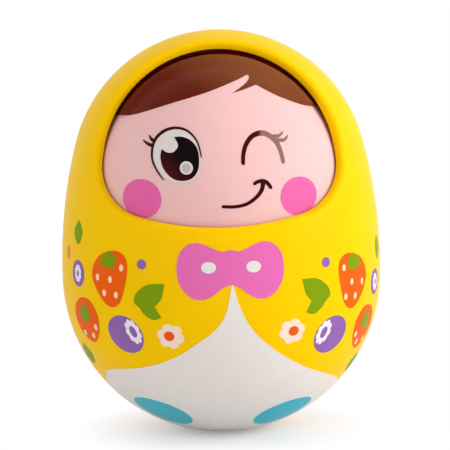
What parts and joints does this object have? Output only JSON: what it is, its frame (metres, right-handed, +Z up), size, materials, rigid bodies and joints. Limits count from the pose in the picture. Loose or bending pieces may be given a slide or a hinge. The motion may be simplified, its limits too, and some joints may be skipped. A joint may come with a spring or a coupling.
{
  "type": "roly poly toy",
  "caption": "Egg-shaped roly poly doll with a weighted round base, a hooded face that nods on an axle, and a chime bell inside.",
  "frame": {"origin": "bottom centre of the doll, on the small flat that it rests on", "axes": "+Z up through the crown of the hood, -Y out of the doll's face, +X towards the viewer's right"},
  "size_m": [0.0914, 0.0914, 0.115],
  "materials": {
    "shell_abs": "satin gloss",
    "face_abs": "satin gloss",
    "natural_nylon": "matte",
    "frame_plastic": "matte",
    "weight_iron": "as cast",
    "bell_nickel": "bright plated",
    "zinc_steel": "zinc plated"
  },
  "bodies": {
    "body": {"front_shell": "shell_abs", "back_shell": "shell_abs", "shell_screws": "zinc_steel", "left_axle_keeper": "natural_nylon", "right_axle_keeper": "natural_nylon", "keeper_screws": "zinc_steel", "base_weight": "weight_iron", "bell_frame": "frame_plastic", "frame_screws": "zinc_steel", "bell": "bell_nickel", "clapper_yoke": "zinc_steel", "yoke_washer": "zinc_steel", "yoke_nut": "zinc_steel", "clapper_pin": "zinc_steel"},
    "head": {"face_shell": "face_abs", "head_back": "face_abs", "head_axle": "zinc_steel", "head_weight": "weight_iron", "head_screws": "zinc_steel"},
    "clapper": {"clapper": "zinc_steel"}
  },
  "joints": [
    {"name": "head_nod", "type": "hinge", "parent": "body", "child": "head", "pos_m": [0, -0.00897, 0.072], "axis": [1, 0, 0], "range_deg": [-12, 12]},
    {"name": "clapper_swing", "type": "hinge", "parent": "body", "child": "clapper", "pos_m": [0, 0, 0.0285], "axis": [0, 1, 0], "range_deg": [-32, 32]}
  ]
}
